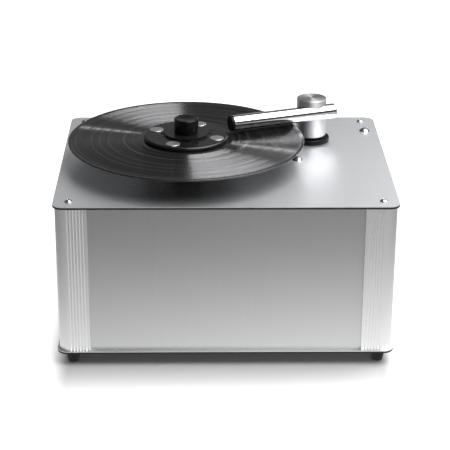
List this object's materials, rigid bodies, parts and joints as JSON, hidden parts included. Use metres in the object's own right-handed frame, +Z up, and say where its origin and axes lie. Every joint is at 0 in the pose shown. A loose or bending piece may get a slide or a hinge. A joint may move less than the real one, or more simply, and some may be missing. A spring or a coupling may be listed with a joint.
{
  "type": "record cleaning machine",
  "caption": "Aluminium-cased record cleaning machine with ribbed corner posts, a clamped record on a turning spindle and a swinging suction arm on a lifting post.",
  "frame": {"origin": "centre of the outline at the level of the feet's undersides", "axes": "+X to the machine's right, +Y to its rear, +Z up"},
  "size_m": [0.419, 0.336, 0.2724],
  "materials": {
    "anodised_skin": "fine satin, brushed across the width",
    "panel": "satin anodised, fine vertical grain",
    "extrusion": "satin anodised extrusion",
    "machined": "turned, satin",
    "polished_tube": "polished",
    "bright_fastener": "polished",
    "steel": "ground",
    "weight_steel": "satin",
    "core": "black sandwich core",
    "foot_rubber": "matt black rubber",
    "seal_rubber": "matt black rubber",
    "black_plastic": "moulded, fine satin",
    "record_vinyl": "glossy vinyl with fine grooves",
    "knob_plastic": "moulded black",
    "velvet": "short black pile",
    "bearing_brass": "machined",
    "sleeve_plastic": "natural bearing plastic",
    "tank_plastic": "natural moulded plastic",
    "lid_plastic": "moulded grey",
    "window": "clear acrylic strip",
    "motor_case": "grey enamel",
    "hose_rubber": "black hose",
    "fan_metal": "pressed"
  },
  "bodies": {
    "chassis": {"base_core": "core", "base_skin": "anodised_skin", "top_core": "core", "top_skin": "anodised_skin", "post_front_left": "extrusion", "post_front_right": "extrusion", "post_rear_left": "extrusion", "post_rear_right": "extrusion", "front_panel": "panel", "rear_panel": "panel", "left_panel": "panel", "right_panel": "panel", "level_window": "window", "top_screws": "bright_fastener", "dome_bolts": "bright_fastener", "foot_front_left": "foot_rubber", "foot_front_right": "foot_rubber", "foot_rear_left": "foot_rubber", "foot_rear_right": "foot_rubber", "foot_screws": "steel", "platter_bearing": "bearing_brass", "bearing_nut": "steel", "motor_bracket": "machined", "motor_screws": "steel", "gear_motor": "motor_case", "arm_collar": "seal_rubber", "arm_carrier": "machined", "arm_sleeve": "sleeve_plastic", "riser_bellows": "hose_rubber", "tank": "tank_plastic", "tank_lid": "lid_plastic", "air_hose": "hose_rubber", "vacuum_unit": "motor_case", "vacuum_cushion": "seal_rubber", "exhaust_duct": "black_plastic", "power_inlet": "black_plastic", "inlet_screws": "steel", "vacuum_switch": "black_plastic", "turn_switch": "black_plastic", "drain_pipe": "black_plastic"},
    "platter": {"drive_shaft": "steel", "drive_coupling": "machined", "spindle": "steel", "platter_hub": "black_plastic", "platter_mat": "seal_rubber", "record": "record_vinyl"},
    "clamp": {"clamp_seal": "seal_rubber", "clamp_disc": "black_plastic", "clamp_weights": "weight_steel"},
    "knob": {"clamp_knob": "knob_plastic"},
    "riser": {"riser_pipe": "steel"},
    "arm": {"arm_post": "machined", "suction_tube": "polished_tube", "tip_cap": "black_plastic", "velvet_strips": "velvet"},
    "fan": {"vacuum_fan": "fan_metal"},
    "vacuum_rocker": {"vacuum_rocker": "knob_plastic"},
    "turn_rocker": {"turn_rocker": "knob_plastic"},
    "drain_plug": {"drain_plug": "black_plastic"}
  },
  "joints": [
    {"name": "platter_turn", "type": "hinge", "parent": "chassis", "child": "platter", "pos_m": [-0.0491, -0.0077, 0.213], "axis": [0, 0, 1], "continuous": true},
    {"name": "clamp_lift", "type": "slide", "parent": "platter", "child": "clamp", "axis": [0, 0, 1], "range_m": [0, 0.03]},
    {"name": "knob_turn", "type": "hinge", "parent": "clamp", "child": "knob", "pos_m": [-0.0491, -0.0077, 0.253], "axis": [0, 0, 1], "continuous": true},
    {"name": "arm_lift", "type": "slide", "parent": "chassis", "child": "riser", "axis": [0, 0, 1], "range_m": [0, 0.008], "deforming": ["riser_bellows"]},
    {"name": "arm_swing", "type": "hinge", "parent": "riser", "child": "arm", "pos_m": [0.1166, 0.073, 0.213], "axis": [0, 0, 1], "range_deg": [-6, 72]},
    {"name": "fan_turn", "type": "hinge", "parent": "chassis", "child": "fan", "pos_m": [-0.1104, 0.0709, 0.0998], "axis": [0, 0, 1], "continuous": true},
    {"name": "vacuum_rocker_tip", "type": "hinge", "parent": "chassis", "child": "vacuum_rocker", "pos_m": [-0.1974, -0.1049, 0.1698], "axis": [0, 1, 0], "range_deg": [0, 20]},
    {"name": "turn_rocker_tip", "type": "hinge", "parent": "chassis", "child": "turn_rocker", "pos_m": [-0.1974, -0.0729, 0.1698], "axis": [0, 1, 0], "range_deg": [-10, 10]},
    {"name": "drain_plug_turn", "type": "hinge", "parent": "chassis", "child": "drain_plug", "pos_m": [0.1304, 0.1617, 0.0398], "axis": [0, 1, 0], "continuous": true}
  ]
}
